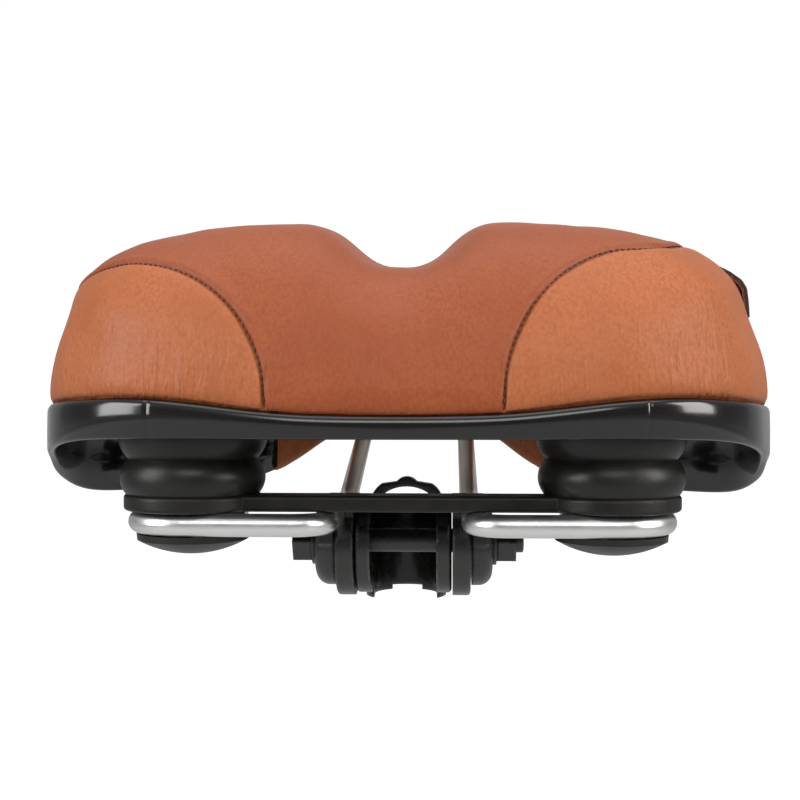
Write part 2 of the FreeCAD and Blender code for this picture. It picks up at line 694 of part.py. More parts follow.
def make_nose_screws():
    """Two pan-head screws through the keeper into the socket, as separate solids."""
    z_under = nose_bar_height() - size("keeper_thick")
    top = size("pan_bottom") + size("nose_pan_rise")
    screws = []
    for end in (-1, 1):
        y = size("nose_bar_y") + end * size("screw_reach")
        head = upright(size("screw_head"), 0, y, z_under - size("screw_head_thick"), z_under)
        shank = upright(size("screw_radius"), 0, y, z_under, top - 0.3)
        screws.append(head.fuse(shank).removeSplitter())
    return plain_part("nose_screws", Part.makeCompound(screws))


make_clamp_band()
make_post_stop()
for word, sign in (("left", -1), ("right", 1)):
    make_jaw(f"rail_cradle_{word}", sign, "cradle_inner", "cradle_outer", "cradle_radius", "cradle_outer")
    make_jaw(f"rail_cap_{word}", sign, "cap_inner", "cap_outer", "cap_radius", "cap_jaw_outer")
    make_clamp_washer(f"clamp_washer_{word}", sign)
    make_elastomer(f"elastomer_{word}", sign)
    make_dome_cap(f"dome_cap_{word}", sign)
    make_spring_washer(f"spring_washer_{word}", sign)
    make_spring_bolt(f"spring_bolt_{word}", sign)
    make_insert(f"threaded_insert_{word}", sign)
make_clamp_bolt()
make_clamp_nut()
make_rail_frame()
make_bridge_plate()
make_seat()
make_side_tag()
make_nose_socket()
make_nose_keeper()
make_nose_screws()
doc.recompute()

for item in doc.Objects:
    if "Invalid" in item.State or "Error" in item.State:
        raise RuntimeError(f"{item.Label} failed to compute")
sub_parts = [
    item for item in doc.Objects
    if item.TypeId in ("PartDesign::Body", "Part::Feature", "Part::Box")
]
for item in sub_parts:
    if item.Shape.isNull() or not item.Shape.isValid():
        raise RuntimeError(f"{item.Label} has no valid shape")
os.makedirs("parts", exist_ok=True)
for item in sub_parts:
    item.Shape.exportStep(f"parts/{item.Label}.step")
    shape = item.Shape
    print(f"{item.Label:24s} solids {len(shape.Solids)}  volume {shape.Volume:12.1f}  {shape.BoundBox}")
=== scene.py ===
import json
import math

import bmesh
import bpy
import numpy as np
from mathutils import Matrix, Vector
from mathutils.kdtree import KDTree


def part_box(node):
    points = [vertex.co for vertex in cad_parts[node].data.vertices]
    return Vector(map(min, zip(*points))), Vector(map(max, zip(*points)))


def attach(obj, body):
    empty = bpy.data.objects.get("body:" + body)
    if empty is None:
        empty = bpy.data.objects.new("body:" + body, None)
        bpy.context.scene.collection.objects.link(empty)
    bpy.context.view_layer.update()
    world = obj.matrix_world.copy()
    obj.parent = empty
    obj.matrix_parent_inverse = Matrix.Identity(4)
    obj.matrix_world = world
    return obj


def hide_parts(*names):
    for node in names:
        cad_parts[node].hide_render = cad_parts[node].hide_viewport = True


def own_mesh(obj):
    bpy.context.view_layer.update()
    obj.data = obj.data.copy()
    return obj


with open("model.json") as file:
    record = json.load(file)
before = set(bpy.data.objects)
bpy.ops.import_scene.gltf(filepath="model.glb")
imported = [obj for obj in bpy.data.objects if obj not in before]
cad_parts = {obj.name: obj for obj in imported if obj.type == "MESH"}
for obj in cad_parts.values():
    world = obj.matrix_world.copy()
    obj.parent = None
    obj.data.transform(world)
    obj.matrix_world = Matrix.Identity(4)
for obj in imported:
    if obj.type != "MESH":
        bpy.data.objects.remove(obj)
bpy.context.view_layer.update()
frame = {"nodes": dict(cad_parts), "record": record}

# A wide sprung bicycle saddle. Outlines are in millimetres and become metres in new_piece().
# +Y points to the nose, +X to the rider's right, +Z up; the origin is on the seat post's axis.
MM = 0.001
MIRROR = np.array([-1.0, 1.0, 1.0])
nodes = frame["nodes"]


# ---------------------------------------------------------------- camera, light and stage
CAMERA_PLACE = (0.0150, -0.4118, 0.0476)
CAMERA_TURN = 2.4
CAMERA_LENS = 52.29
FLOOR_Z = -0.45


def link(thing):
    bpy.context.scene.collection.objects.link(thing)
    return thing


def add_camera():
    data = bpy.data.cameras.new("rear_camera")
    data.lens = CAMERA_LENS
    data.sensor_width = 36.0
    data.clip_start = 0.01
    data.clip_end = 50.0
    camera = link(bpy.data.objects.new("rear_camera", data))
    camera.location = CAMERA_PLACE
    camera.rotation_euler = (math.radians(90), 0, math.radians(CAMERA_TURN))
    bpy.context.scene.camera = camera


def softbox(name, place, target, width, height, power, colour=(1, 1, 1)):
    data = bpy.data.lights.new(name, "AREA")
    data.shape = "RECTANGLE"
    data.size = width
    data.size_y = height
    data.energy = power
    data.color = colour
    lamp = link(bpy.data.objects.new(name, data))
    lamp.location = place
    aim = Vector(target) - Vector(place)
    lamp.rotation_euler = aim.to_track_quat("-Z", "Y").to_euler()


def add_lights():
    middle = (0, 0, 0.05)
    softbox("overhead", (0, -0.1, 1.3), middle, 1.4, 1.4, 7.5)
    softbox("side_left", (-1.2, -0.75, 0.45), middle, 0.6, 0.9, 11)
    softbox("side_right", (1.25, -0.6, 0.55), middle, 0.6, 0.9, 12.5, (1.0, 0.99, 0.97))
    softbox("front_fill", (0.1, -1.6, 0.95), middle, 1.1, 0.5, 6)
    softbox("nose_fill", (0, 1.5, 0.7), middle, 1.2, 0.8, 1)


def add_world():
    """White to the eye; for lighting, bright above and below and grey at the horizon."""
    world = bpy.data.worlds.new("studio")
    bpy.context.scene.world = world
    world.use_nodes = True
    tree = world.node_tree
    tree.nodes.clear()
    out = tree.nodes.new("ShaderNodeOutputWorld")
    mix = tree.nodes.new("ShaderNodeMixShader")
    seen = tree.nodes.new("ShaderNodeBackground")
    seen.inputs["Color"].default_value = (1, 1, 1, 1)
    seen.inputs["Strength"].default_value = 1.0
    cast = tree.nodes.new("ShaderNodeBackground")
    cast.inputs["Strength"].default_value = 0.46
    path = tree.nodes.new("ShaderNodeLightPath")
    where = tree.nodes.new("ShaderNodeTexCoord")
    split = tree.nodes.new("ShaderNodeSeparateXYZ")
    ramp = tree.nodes.new("ShaderNodeValToRGB")
    half_up = tree.nodes.new("ShaderNodeMapRange")
    half_up.inputs["From Min"].default_value = -1.0
    ramp.color_ramp.elements[0].color = (1, 1, 1, 1)
    ramp.color_ramp.elements[0].position = 0.38
    ramp.color_ramp.elements[1].color = (1, 1, 1, 1)
    ramp.color_ramp.elements[1].position = 0.86
    dark = ramp.color_ramp.elements.new(0.50)
    dark.color = (0.42, 0.42, 0.42, 1)
    still_dark = ramp.color_ramp.elements.new(0.60)
    still_dark.color = (0.34, 0.34, 0.35, 1)
    tree.links.new(where.outputs["Generated"], split.inputs[0])
    tree.links.new(split.outputs["Z"], half_up.inputs["Value"])
    tree.links.new(half_up.outputs["Result"], ramp.inputs["Fac"])
    tree.links.new(ramp.outputs["Color"], cast.inputs["Color"])
    tree.links.new(path.outputs["Is Camera Ray"], mix.inputs[0])
    tree.links.new(cast.outputs[0], mix.inputs[1])
    tree.links.new(seen.outputs[0], mix.inputs[2])
    tree.links.new(mix.outputs[0], out.inputs["Surface"])
    bpy.context.scene.view_settings.view_transform = "Standard"


def add_floor():
    """A pale sweep: flat floor, a curve up behind and a wall."""
    reach, start, bend, top = 4.0, 1.6, 0.8, 2.6
    profile = [(-reach, FLOOR_Z), (start, FLOOR_Z)]
    for step in range(1, 13):
        turn = math.radians(90 * step / 12)
        profile.append((start + bend * math.sin(turn), FLOOR_Z + bend * (1 - math.cos(turn))))
    profile.append((start + bend, top))
    points = [(x, y, z) for y, z in profile for x in (-reach, reach)]
    faces = [(i, i + 1, i + 3, i + 2) for i in range(0, len(points) - 2, 2)]
    mesh = bpy.data.meshes.new("floor")
    mesh.from_pydata(points, [], faces)
    for polygon in mesh.polygons:
        polygon.use_smooth = True
    floor = link(bpy.data.objects.new("floor", mesh))
    paper = Finish("paper", roughness=0.9)
    paper.set("Base Color", (0.42, 0.42, 0.42, 1))
    paper.set("Emission Color", (1, 1, 1, 1))
    seen = paper.add("ShaderNodeLightPath").outputs["Is Camera Ray"]
    paper.join(paper.span(seen, 0, 1, 0.12, 0.8), paper.shader.inputs["Emission Strength"])
    mesh.materials.append(paper.material)


# ---------------------------------------------------------------- material building
class Finish:
    """A node material under construction, around one Principled shader."""

    def __init__(self, name, roughness=0.5, metallic=0.0):
        self.material = bpy.data.materials.new(name)
        self.material.use_nodes = True
        self.tree = self.material.node_tree
        self.shader = self.tree.nodes["Principled BSDF"]
        self.set("Roughness", roughness)
        self.set("Metallic", metallic)
        self.place = self.add("ShaderNodeTexCoord").outputs["Object"]

    def set(self, socket, value):
        self.shader.inputs[socket].default_value = value

    def add(self, kind, **values):
        node = self.tree.nodes.new(kind)
        for name, value in values.items():
            setattr(node, name, value)
        return node

    def join(self, source, target):
        self.tree.links.new(source, target)

    def stretched(self, stretch):
        mapping = self.add("ShaderNodeMapping")
        mapping.inputs["Scale"].default_value = stretch
        self.join(self.place, mapping.inputs["Vector"])
        return mapping.outputs["Vector"]

    def noise(self, scale, detail=3.0, stretch=(1, 1, 1), warp=0.0):
        node = self.add("ShaderNodeTexNoise")
        node.inputs["Scale"].default_value = scale
        node.inputs["Detail"].default_value = detail
        node.inputs["Distortion"].default_value = warp
        self.join(self.stretched(stretch), node.inputs["Vector"])
        return node.outputs["Fac"]

    def cells(self, scale, feature="F1", stretch=(1, 1, 1)):
        node = self.add("ShaderNodeTexVoronoi", feature=feature)
        node.inputs["Scale"].default_value = scale
        self.join(self.stretched(stretch), node.inputs["Vector"])
        return node.outputs["Distance"]

    def span(self, source, low, high, to_low=0.0, to_high=1.0):
        node = self.add("ShaderNodeMapRange")
        node.inputs["From Min"].default_value = low
        node.inputs["From Max"].default_value = high
        node.inputs["To Min"].default_value = to_low
        node.inputs["To Max"].default_value = to_high
        self.join(source, node.inputs["Value"])
        return node.outputs["Result"]

    def maths(self, kind, first, second):
        node = self.add("ShaderNodeMath", operation=kind)
        for socket, value in zip(node.inputs, (first, second)):
            if isinstance(value, (int, float)):
                socket.default_value = value
            else:
                self.join(value, socket)
        return node.outputs["Value"]

    def height(self):
        split = self.add("ShaderNodeSeparateXYZ")
        self.join(self.place, split.inputs[0])
        return split.outputs["Z"]

    def tint(self, factor, first, second):
        """Colour from first at factor 0 to second at factor 1."""
        node = self.add("ShaderNodeMix", data_type="RGBA")
        self.join(factor, node.inputs["Factor"])
        for socket, value in ((node.inputs[6], first), (node.inputs[7], second)):
            if isinstance(value, tuple):
                socket.default_value = value
            else:
                self.join(value, socket)
        return node.outputs[2]

    def colour(self, source):
        self.join(source, self.shader.inputs["Base Color"])

    def rough(self, source):
        self.join(source, self.shader.inputs["Roughness"])

    def bump(self, source, distance, strength=1.0, under=None):
        node = self.add("ShaderNodeBump")
        node.inputs["Distance"].default_value = distance
        node.inputs["Strength"].default_value = strength
        self.join(source, node.inputs["Height"])
        if under is not None:
            self.join(under, node.inputs["Normal"])
        self.join(node.outputs["Normal"], self.shader.inputs["Normal"])
        return node.outputs["Normal"]

    def soft_edges(self, radius):
        """Rounded-looking edges, and the mask of where they are."""
        bevel = self.add("ShaderNodeBevel", samples=6)
        bevel.inputs["Radius"].default_value = radius
        flat = self.add("ShaderNodeNewGeometry")
        dot = self.add("ShaderNodeVectorMath", operation="DOT_PRODUCT")
        self.join(bevel.outputs["Normal"], dot.inputs[0])
        self.join(flat.outputs["Normal"], dot.inputs[1])
        edge = self.span(dot.outputs["Value"], 0.99, 0.90)
        return bevel.outputs["Normal"], edge


def leather(name, dark, light, wrinkle):
    """Fine-grained cognac leather, with short upright creases low on the sides."""
    finish = Finish(name, roughness=0.46)
    finish.set("Specular IOR Level", 0.3)
    finish.set("Sheen Weight", 0.02)
    finish.set("Sheen Roughness", 0.45)
    finish.set("Sheen Tint", (1.0, 0.82, 0.72, 1))
    mottle = finish.noise(34, 4, warp=0.4)
    tone = finish.tint(finish.span(mottle, 0.3, 0.7), dark, light)
    grain = finish.cells(1150, "SMOOTH_F1", (1, 1, 0.72))
    pores = finish.noise(2300, 2)
    crease = finish.noise(520, 3, (1, 1, 0.16), 0.6)
    patches = finish.span(finish.noise(42, 2), 0.45, 0.62)
    low = finish.span(finish.height(), 0.085, 0.050)
    creases = finish.maths("MULTIPLY", crease, finish.maths("ADD", 0.18, low))
    creases = finish.maths("MULTIPLY", creases, finish.maths("ADD", 0.35, patches))
    # Painted shade: the grain's crevices are painted a darker brown.
    grain_crevice_shade = finish.tint(
        finish.span(grain, 0.1, 0.75), tone, (dark[0] * 0.9, dark[1] * 0.86, dark[2] * 0.82, 1)
    )
    finish.colour(grain_crevice_shade)
    finish.rough(finish.span(mottle, 0.25, 0.75, 0.40, 0.54))
    first = finish.bump(grain, -0.00010, 0.5)
    second = finish.bump(pores, 0.00004, 0.4, first)
    finish.bump(creases, 0.0008 * wrinkle, 0.9, second)
    return finish.material


def glossy_plastic():
    finish = Finish("shell_gloss_black", roughness=0.2)
    finish.set("Specular IOR Level", 0.55)
    finish.set("Coat Weight", 0.3)
    finish.set("Coat Roughness", 0.1)
    cloudy = finish.noise(60, 3)
    finish.colour(finish.tint(cloudy, (0.0036, 0.003, 0.0028, 1), (0.006, 0.0052, 0.0046, 1)))
    finish.rough(finish.span(cloudy, 0.3, 0.7, 0.10, 0.19))
    finish.bump(finish.noise(900, 2), 0.00002, 0.25)
    return finish.material


def moulded_rubber(name, shade, roughness, grain=0.00004):
    finish = Finish(name, roughness=roughness)
    finish.set("Specular IOR Level", 0.4)
    bloom = finish.noise(70, 4, warp=0.5)
    lighter = tuple(min(1.0, c * 1.75) for c in shade[:3]) + (1,)
    finish.colour(finish.tint(finish.span(bloom, 0.35, 0.7), shade, lighter))
    finish.rough(finish.span(bloom, 0.3, 0.7, roughness - 0.06, roughness + 0.1))
    finish.bump(finish.noise(1500, 3), grain, 0.6)
    return finish.material


def painted_steel(name, shade, roughness, bare):
    """Black electrocoat that has rubbed thin along the edges."""
    finish = Finish(name, roughness=roughness)
    finish.set("Specular IOR Level", 0.8)
    rounded, edge = finish.soft_edges(0.0015)
    scuff = finish.span(finish.noise(210, 5, warp=0.8), 0.42, 0.66)
    wear = finish.maths("MULTIPLY", edge, scuff)
    body = finish.tint(finish.noise(130, 4), shade, tuple(c * 1.6 for c in shade[:3]) + (1,))
    finish.colour(finish.tint(wear, body, bare))
    finish.rough(finish.span(finish.noise(260, 4), 0.3, 0.7, roughness - 0.07, roughness + 0.1))
    finish.bump(finish.noise(700, 3), 0.00005, 0.5, rounded)
    return finish.material


def satin_chrome():
    """Drawn rod: bright satin chrome, a little anisotropic, with cloudy tone, patchy roughness and a
    faint fine texture.
    """
    finish = Finish("rail_satin_chrome", roughness=0.24, metallic=1.0)
    finish.set("Anisotropic", 0.25)
    clouds = finish.noise(45, 4)
    finish.colour(finish.tint(clouds, (0.80, 0.80, 0.79, 1), (0.92, 0.92, 0.91, 1)))
    finish.rough(finish.span(finish.noise(120, 3), 0.3, 0.75, 0.28, 0.37))
    finish.bump(finish.noise(1800, 2), 0.000006, 0.5)
    return finish.material


def zinc_steel():
    finish = Finish("zinc_plate", roughness=0.34, metallic=1.0)
    rounded, edge = finish.soft_edges(0.0003)
    blotch = finish.noise(180, 4, warp=0.6)
    plate = finish.tint(blotch, (0.52, 0.53, 0.52, 1), (0.70, 0.70, 0.67, 1))
    finish.colour(finish.tint(edge, plate, (0.82, 0.82, 0.80, 1)))
    finish.rough(finish.span(blotch, 0.3, 0.7, 0.26, 0.45))
    finish.bump(finish.noise(900, 2), 0.00003, 0.5, rounded)
    return finish.material


def ribbed_nylon(name, shade):
    """Glass-filled nylon with a fine moulded texture."""
    finish = Finish(name, roughness=0.42)
    finish.set("Specular IOR Level", 0.35)
    rounded, edge = finish.soft_edges(0.0006)
    flow = finish.noise(90, 4, (1, 0.4, 1), 0.7)
    body = finish.tint(finish.span(flow, 0.3, 0.7), shade, tuple(c * 1.8 for c in shade[:3]) + (1,))
    finish.colour(finish.tint(edge, body, tuple(min(1, c * 3.2) for c in shade[:3]) + (1,)))
    finish.rough(finish.span(flow, 0.3, 0.7, 0.34, 0.52))
    finish.bump(finish.cells(1700), 0.00006, 0.5, rounded)
    return finish.material


def open_foam():
    finish = Finish("moulded_foam", roughness=0.95)
    pores = finish.cells(900)
    # Painted shade: the pits of the pores are painted darker than the walls between them.
    finish.colour(finish.tint(pores, (0.34, 0.31, 0.25, 1), (0.62, 0.58, 0.49, 1)))
    finish.bump(pores, 0.0004, 0.8)
    return finish.material


def woven_label(name, warp_tone, weft_tone):
    finish = Finish(name, roughness=0.8)
    finish.set("Sheen Weight", 0.2)
    threads = finish.noise(1900, 2, (0.25, 1.0, 0.25))
    cross = finish.noise(1900, 2, (1.0, 0.2, 1.0))
    weave = finish.maths("MULTIPLY", threads, cross)
    finish.colour(finish.tint(finish.span(weave, 0.15, 0.4), warp_tone, weft_tone))
    finish.bump(weave, 0.0002, 0.7)
    return finish.material


def seam_thread():
    finish = Finish("waxed_thread", roughness=0.55)
    strands = finish.noise(2600, 2, (1, 1, 0.5), 0.8)
    finish.colour(finish.tint(strands, (0.028, 0.012, 0.008, 1), (0.075, 0.032, 0.02, 1)))
    finish.bump(strands, 0.00008, 0.7)
    return finish.material


# ---------------------------------------------------------------- smooth curves
def spline(points, at):
    """The natural cubic spline through (place, value) points."""
    x, y = np.array(points, float).T
    step = np.diff(x)
    count = len(x)
    system = np.eye(count)
    wanted = np.zeros(count)
    for i in range(1, count - 1):
        system[i, i - 1:i + 2] = step[i - 1], 2 * (step[i - 1] + step[i]), step[i]
        wanted[i] = 6 * ((y[i + 1] - y[i]) / step[i] - (y[i] - y[i - 1]) / step[i - 1])
    bend = np.linalg.solve(system, wanted)
    at = np.clip(at, x[0], x[-1])
    i = np.clip(np.searchsorted(x, at) - 1, 0, count - 2)
    left, right, gap = x[i + 1] - at, at - x[i], step[i]
    curved = (bend[i] * left ** 3 + bend[i + 1] * right ** 3) / (6 * gap)
    return (curved + (y[i] / gap - bend[i] * gap / 6) * left
            + (y[i + 1] / gap - bend[i + 1] * gap / 6) * right)


def lengths(points):
    """Distance along a row of points."""
    return np.concatenate([[0], np.cumsum(np.linalg.norm(np.diff(points, axis=0), axis=1))])


def resample(points, places):
    """Points at the given distances along a row of points."""
    along = lengths(points)
    return np.stack([np.interp(places, along, points[:, i]) for i in range(points.shape[1])], 1)


# ---------------------------------------------------------------- the saddle's outer form
# Stations from tail to nose: y, half width, height of the top, depth of the groove.
STATIONS = [
    (-84.6, 30.0, 51.0, 0.3), (-82.5, 58.0, 63.0, 1.5), (-78.0, 80.0, 76.0, 4.0),
    (-70.0, 95.0, 88.5, 8.0), (-56.0, 107.0, 99.0, 11.5), (-34.0, 116.5, 105.5, 15.0),
    (-10.0, 123.5, 106.0, 13.5), (12.0, 121.0, 105.0, 12.0), (26.0, 109.0, 103.0, 10.5),
    (36.0, 86.0, 100.5, 9.0), (44.0, 66.0, 98.0, 7.5), (54.0, 51.0, 95.5, 6.0),
    (68.0, 42.0, 93.0, 4.5), (90.0, 37.5, 91.0, 3.0), (120.0, 35.5, 90.5, 1.5),
    (148.0, 33.0, 88.5, 0.5), (166.0, 25.5, 81.0, 0.0), (176.0, 15.0, 70.0, 0.0),
    (179.5, 6.0, 60.0, 0.0),
]
SHOULDER_Z, SIDE_POWER, TOP_POWER = 46.0, 3.4, 3.6
GROOVE_SPREAD, GROOVE_POWER = 18.5, 2.8
WAIST, WAIST_LEVEL, WAIST_SPREAD = 0.034, 0.48, 0.22     # how the sides draw in, and where
WALL_FOOT = 8.0          # where a column of the form begins, below every edge
COLUMN_POINTS = 260

# Lower edge of the walls as (y, z) and join of leather and plastic rim as (|x|, z).
LOWER_EDGE = [
    (-95, 36), (-74, 36), (-58, 33.8), (-42, 31.2), (-25, 27.5), (-12, 22.5), (0, 18.5), (14, 14.6),
    (30, 13.6), (46, 17.4), (58, 25), (68, 29.8), (92, 31.5), (135, 33.5), (190, 38),
]
RIM_JOIN = [(0, 43.6), (36, 44.6), (72, 48.2), (100, 47.8), (135, 44.6)]
BUMPER_END = 50.0        # the plastic rim stops here and leather covers the nose

# Seam between the middle panel and each side panel. Seen from behind it is a quarter of a
# rounded arc, from its foot on the rim (|x|) to its top (|x|, z); then it is given by (y, z).
SEAM_FOOT = {"left": 37.5, "right": 30.5}
SEAM_TOP = {"left": (85.0, 89.6), "right": (76.0, 93.8)}
SEAM_ROUNDNESS = 2.1
SEAM_ARC_STEPS = 9
SEAM_BESIDE = {
    "left": [(-40, 85.3), (-16, 84), (6, 83.5), (24, 82)],
    "right": [(-40, 97), (-12, 96), (8, 90.5), (24, 85)],
}
SEAM_FORWARD = [(38, 80), (50, 77), (64, 70), (80, 60), (96, 50)]
SEAM_END = 103.0


def station_tables():
    spots = np.array(STATIONS)
    along = lengths(spots[:, :2])
    dense = np.linspace(0, along[-1], 2400)
    return [spline(list(zip(along, spots[:, i])), dense) for i in range(4)]


TABLE_Y, TABLE_HALF, TABLE_TOP, TABLE_GROOVE = station_tables()
LEVELS = 1 - np.linspace(0, 1, 900) ** 2
SPREADS = (1 - LEVELS ** TOP_POWER) ** (1 / SIDE_POWER)
SPREADS *= 1 - WAIST * np.exp(-(((LEVELS - WAIST_LEVEL) / WAIST_SPREAD) ** 2))


def roof(x, y):
    """Height of the outer form over a point of the plan."""
    half, top, groove = (np.interp(y, TABLE_Y, t) for t in (TABLE_HALF, TABLE_TOP, TABLE_GROOVE))
    level = np.interp(np.abs(x) / half, SPREADS, LEVELS)
    dip = groove * np.exp(-((np.abs(x) / GROOVE_SPREAD) ** GROOVE_POWER))
    return SHOULDER_Z + (top - dip - SHOULDER_Z) * level


def plan_outline():
    """The right half of the plan from tail to nose, every half millimetre, corners eased."""
    tail = np.linspace(0, TABLE_HALF[0], 60)[:-1]
    tip = np.linspace(TABLE_HALF[-1], 0, 12)[1:]
    x = np.concatenate([tail, TABLE_HALF, tip])
    y = np.concatenate([np.full(len(tail), TABLE_Y[0]), TABLE_Y, np.full(len(tip), TABLE_Y[-1])])
    points = np.stack([x, y], 1)
    total = lengths(points)[-1]
    points = resample(points, np.arange(0, total, 0.5))
    points[-1, 0] = 0
    reach = 14
    flip = np.array([-1, 1])
    wide = np.concatenate([points[reach:0:-1] * flip, points, points[-2:-reach - 2:-1] * flip])
    weight = np.exp(-(np.arange(-reach, reach + 1) / 6.0) ** 2)
    weight /= weight.sum()
    eased = np.stack([np.convolve(wide[:, i], weight, "valid") for i in range(2)], 1)
    eased[0, 0] = eased[-1, 0] = 0
    return eased


OUTLINE = plan_outline()
OUTLINE_S = lengths(OUTLINE)
OUTLINE_LENGTH = OUTLINE_S[-1]


def outline(s):
    """Plan point and outward direction at a distance along the outline."""
    point = resample(OUTLINE, s)
    ahead, behind = resample(OUTLINE, np.add(s, 0.6)), resample(OUTLINE, np.subtract(s, 0.6))
    run = ahead - behind
    out = np.stack([run[:, 1], -run[:, 0]], 1)
    out /= np.linalg.norm(out, axis=1)[:, None]
    out[np.array(s) < 0.01] = (0, -1)
    out[np.array(s) > OUTLINE_LENGTH - 0.01] = (0, 1)
    return point, out


def s_at_y(y):
    """Distance along the outline at a given y, past the flat of the tail."""
    start = int(np.searchsorted(OUTLINE[:, 0], TABLE_HALF[0]))
    return float(np.interp(y, OUTLINE[start:-20, 1], OUTLINE_S[start:-20]))


SIDE_START, NOSE_START = s_at_y(-20), s_at_y(140)


def spine(s, y):
    """Where on the centre line the column from an outline point ends."""
    if s < SIDE_START:
        u = s / SIDE_START
        return -62 + 42 * (0.35 * u + 0.65 * u * u)
    if s > NOSE_START:
        return 140 + 20 * (s - NOSE_START) / (OUTLINE_LENGTH - NOSE_START)
    return y


def column(s):
    """A row of points up the wall and over the top to the centre line."""
    (x_foot, y_foot), = resample(OUTLINE, [s])
    y_spine = spine(s, y_foot)
    part = np.linspace(0, 1, 420) ** 3
    x = x_foot * (1 - part)
    y = y_foot + (y_spine - y_foot) * part
    z = roof(x, y)
    wall = np.linspace(WALL_FOOT, z[0], 40)[:-1]
    low = np.stack([np.full(39, x_foot), np.full(39, y_foot), wall], 1)
    points = np.concatenate([low, np.stack([x, y, z], 1)])
    return resample(points, np.linspace(0, lengths(points)[-1], COLUMN_POINTS))


def unit(vectors):
    size = np.linalg.norm(vectors, axis=-1, keepdims=True)
    return vectors / np.where(size < 1e-9, 1, size)


class Form:
    """Columns of the outer form at chosen places, with outward normals, for the right side."""

    def __init__(self, places):
        self.s = np.array(places, float)
        self.grid = np.array([column(s) for s in self.s])
        sideways = np.concatenate([self.grid[1:2] * MIRROR, self.grid, self.grid[-2:-1] * MIRROR])
        low = 2 * self.grid[:, :1] - self.grid[:, 1:2]
        upward = np.concatenate([low, self.grid, self.grid[:, -2:-1] * MIRROR], axis=1)
        along = sideways[2:] - sideways[:-2]
        up = upward[:, 2:] - upward[:, :-2]
        self.normal = unit(np.cross(along, up))

    def level(self, j, z):
        """How far up column j the height z is first met, from 0 to 1."""
        heights = self.grid[j, :, 2]
        top = int(np.argmax(heights))
        rising = np.maximum.accumulate(heights[:top + 1])
        return float(np.interp(z, rising, np.arange(top + 1))) / (COLUMN_POINTS - 1)

    def at(self, j, shares):
        """Points and normals at shares of column j's length."""
        spots = np.asarray(shares) * (COLUMN_POINTS - 1)
        index = np.arange(COLUMN_POINTS)
        both = []
        for field in (self.grid[j], self.normal[j]):
            both.append(np.stack([np.interp(spots, index, field[:, i]) for i in range(3)], 1))
        return both[0], unit(both[1])


# ---------------------------------------------------------------- meshes
def new_piece(name, points, faces, material, crease=None):
    """A mesh object on the seat body from millimetre points."""
    mesh = bpy.data.meshes.new(name)
    mesh.from_pydata((np.asarray(points) * MM).tolist(), [], faces)
    mesh.validate()
    work = bmesh.new()
    work.from_mesh(mesh)
    bmesh.ops.dissolve_degenerate(work, edges=work.edges, dist=1e-7)
    bmesh.ops.recalc_face_normals(work, faces=work.faces)
    work.to_mesh(mesh)
    work.free()
    for polygon in mesh.polygons:
        polygon.use_smooth = True
    if crease is not None:
        mesh.set_sharp_from_angle(angle=math.radians(crease))
    mesh.materials.append(material)
    piece = link(bpy.data.objects.new(name, mesh))
    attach(piece, "seat")
    return piece


def welded(points, faces, grain=1e-4):
    """Merge points that coincide and drop what collapses."""
    keys = np.round(np.asarray(points) / grain).astype(np.int64)
    _, first, where = np.unique(keys, axis=0, return_index=True, return_inverse=True)
    where = where.ravel()
    kept = []
    for face in faces:
        ring = []
        for corner in (int(where[i]) for i in face):
            if not ring or ring[-1] != corner:
                ring.append(corner)
        if len(ring) > 1 and ring[0] == ring[-1]:
            ring.pop()
        if len(set(ring)) > 2:
            kept.append(tuple(ring))
    return np.asarray(points)[first], kept


def face_normals(points, faces):
    """Normals at the points, weighted by face area."""
    normals = np.zeros_like(points)
    for face in faces:
        a, b, c = (points[face[i]] for i in (0, 1, 2))
        area = np.cross(b - a, c - a)
        if len(face) == 4:
            d = points[face[3]]
            area = np.cross(c - a, d - b)
        for corner in face:
            normals[corner] += area
    return unit(normals)


def thickened(points, faces, thickness):
    """A closed skin: the outer surface, a copy set inward and the rim between them."""
    inner = points - thickness * face_normals(points, faces)
    count = len(points)
    edges = {}
    for face in faces:
        for a, b in zip(face, face[1:] + face[:1]):
            key = (min(a, b), max(a, b))
            edges[key] = None if key in edges else (a, b)
    closed = list(faces) + [tuple(i + count for i in reversed(face)) for face in faces]
    for edge in edges.values():
        if edge:
            a, b = edge
            closed.append((b, a, a + count, b + count))
    return np.concatenate([points, inner]), closed


class Cloth:
    """Blocks of points knitted into one skin."""

    def __init__(self):
        self.points, self.faces, self.count = [], [], 0

    def add(self, block, flip):
        """A block is columns of rows; faces join each pair of neighbouring columns."""
        columns, rows = block.shape[:2]
        index = np.arange(columns * rows).reshape(columns, rows) + self.count
        quads = np.stack([index[:-1, :-1], index[1:, :-1], index[1:, 1:], index[:-1, 1:]], -1)
        quads = quads.reshape(-1, 4)
        if flip:
            quads = quads[:, ::-1]
        self.faces += [tuple(int(i) for i in quad) for quad in quads]
        self.points.append(block.reshape(-1, 3))
        self.count += columns * rows

    def piece(self, name, material, slot, thickness):
        points, faces = welded(np.concatenate(self.points), self.faces)
        points, faces = thickened(points, faces, thickness)
        return new_piece(name, points, faces, material)


# ---------------------------------------------------------------- leather cover
COVER_THICK = 1.2
SIDE_ROWS, MIDDLE_ROWS = 44, 74
SEAM_DEPTH, SEAM_WIDTH = 1.0, 0.75


def rim_height(x):
    return spline(RIM_JOIN, np.abs(x))


def edge_height(y):
    return spline(LOWER_EDGE, y)


def tail_place(x):
    """Distance along the outline, across the tail, at which it reaches |x|."""
    return float(np.interp(x, OUTLINE[:320, 0], OUTLINE_S[:320]))


